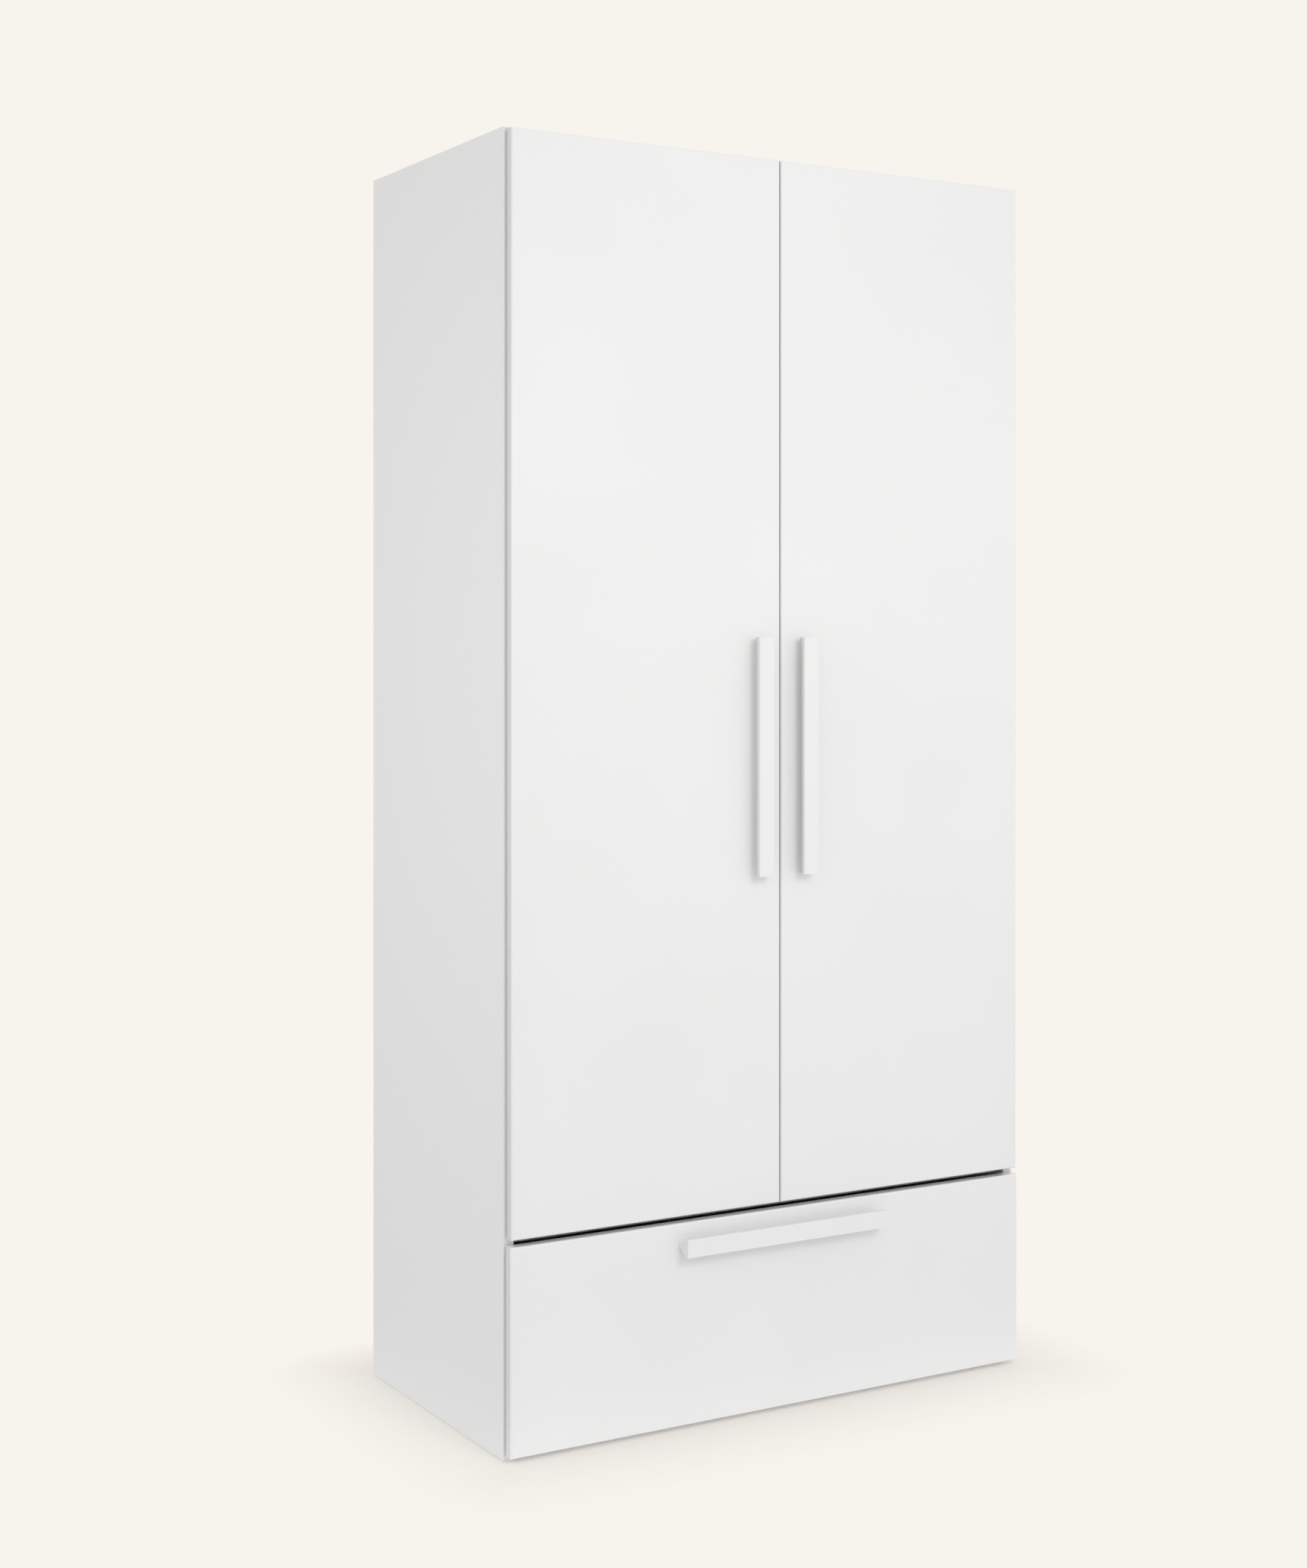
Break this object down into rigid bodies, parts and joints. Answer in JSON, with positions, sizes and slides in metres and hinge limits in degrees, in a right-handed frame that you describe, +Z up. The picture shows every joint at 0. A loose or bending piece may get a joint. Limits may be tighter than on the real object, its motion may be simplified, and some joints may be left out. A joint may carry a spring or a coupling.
{
  "type": "wardrobe",
  "caption": "Tall free-standing wardrobe with overlay doors on concealed hinges above a full-width drawer on roller runners, all opened by bar handles.",
  "frame": {"origin": "on the floor, at the middle of the whole box, with the doors and the drawer closed and the handles included", "axes": "+Z up, -Y out of the doors, +X to the right as seen from the front"},
  "size_m": [0.97, 0.526, 2],
  "materials": {
    "front_gloss": "white high-gloss lacquer on board",
    "carcass_board": "white satin melamine on chipboard",
    "thin_board": "thin fibreboard, white inside",
    "drawer_board": "white melamine on thin chipboard",
    "handle_lacquer": "white lacquered aluminium bar",
    "white_plastic": "moulded white plastic",
    "beech_dowel": "fluted beech",
    "clear_buffer": "soft clear buffer",
    "white_steel": "white powder-coated steel",
    "bright_steel": "nickel-plated steel",
    "cast_zinc": "die-cast zinc"
  },
  "bodies": {
    "root": {"side_panel_left": "carcass_board", "side_panel_right": "carcass_board", "top_panel": "carcass_board", "hat_shelf": "carcass_board", "centre_divider": "carcass_board", "fixed_shelf": "carcass_board", "bottom_panel": "carcass_board", "plinth_rail": "carcass_board", "back_panel_left": "thin_board", "back_panel_right": "thin_board", "back_joint_strip": "white_plastic", "back_nails": "bright_steel", "floor_glides": "white_plastic", "cam_locks": "cast_zinc", "cam_bolts": "bright_steel", "dowels": "beech_dowel", "wall_brackets": "bright_steel", "shelf_lower": "carcass_board", "shelf_middle": "carcass_board", "shelf_upper": "carcass_board", "shelf_pins": "bright_steel", "clothes_rail": "bright_steel", "rail_ends": "white_steel", "hinge_arms": "bright_steel", "hinge_plates": "bright_steel", "runner_cabinet_left": "white_steel", "runner_cabinet_right": "white_steel", "cabinet_roller_axles": "bright_steel", "cabinet_screws": "bright_steel"},
    "hinge_links_left": {"hinge_links_left": "bright_steel", "hinge_pins_left": "bright_steel"},
    "hinge_links_right": {"hinge_links_right": "bright_steel", "hinge_pins_right": "bright_steel"},
    "door_left": {"door_left": "front_gloss", "handle_left": "handle_lacquer", "handle_screws_left": "bright_steel", "hinge_cups_left": "bright_steel", "hinge_cup_screws_left": "bright_steel", "door_buffers_left": "clear_buffer"},
    "door_right": {"door_right": "front_gloss", "handle_right": "handle_lacquer", "handle_screws_right": "bright_steel", "hinge_cups_right": "bright_steel", "hinge_cup_screws_right": "bright_steel", "door_buffers_right": "clear_buffer"},
    "drawer": {"drawer_front": "front_gloss", "drawer_side_left": "drawer_board", "drawer_side_right": "drawer_board", "drawer_back": "drawer_board", "drawer_bottom": "thin_board", "drawer_dowels": "beech_dowel", "handle_drawer": "handle_lacquer", "handle_screws_drawer": "bright_steel", "runner_drawer_left": "white_steel", "runner_drawer_right": "white_steel", "drawer_roller_axles": "bright_steel", "drawer_runner_screws": "bright_steel"},
    "cabinet_rollers": {"cabinet_rollers": "white_plastic"},
    "drawer_rollers": {"drawer_rollers": "white_plastic"}
  },
  "joints": [
    {"name": "hinge_link_left", "type": "hinge", "parent": "root", "child": "hinge_links_left", "pos_m": [-0.4534, -0.2228, 1.165], "axis": [0, 0, 1], "range_deg": [0, 52.5]},
    {"name": "door_left_swing", "type": "hinge", "parent": "hinge_links_left", "child": "door_left", "pos_m": [-0.469, -0.2228, 1.165], "axis": [0, 0, -1], "range_deg": [0, 157.5]},
    {"name": "hinge_link_right", "type": "hinge", "parent": "root", "child": "hinge_links_right", "pos_m": [0.4534, -0.2228, 1.165], "axis": [0, 0, -1], "range_deg": [0, 52.5]},
    {"name": "door_right_swing", "type": "hinge", "parent": "hinge_links_right", "child": "door_right", "pos_m": [0.469, -0.2228, 1.165], "axis": [0, 0, 1], "range_deg": [0, 157.5]},
    {"name": "drawer_slide", "type": "slide", "parent": "root", "child": "drawer", "axis": [0, -1, 0], "range_m": [0, 0.34]},
    {"name": "cabinet_roller_spin", "type": "hinge", "parent": "root", "child": "cabinet_rollers", "pos_m": [0, -0.202, 0.09855], "axis": [1, 0, 0], "range_deg": [-10, 1800]},
    {"name": "drawer_roller_spin", "type": "hinge", "parent": "drawer", "child": "drawer_rollers", "pos_m": [0, 0.215, 0.09635], "axis": [1, 0, 0], "range_deg": [-10, 1800]}
  ],
  "couplings": [
    {"joint": "hinge_link_left", "follows": "door_left_swing", "ratio": 0.33333},
    {"joint": "hinge_link_right", "follows": "door_right_swing", "ratio": 0.33333},
    {"joint": "cabinet_roller_spin", "follows": "drawer_slide", "rad_per_m": 91.743},
    {"joint": "drawer_roller_spin", "follows": "drawer_slide", "rad_per_m": 91.743}
  ]
}
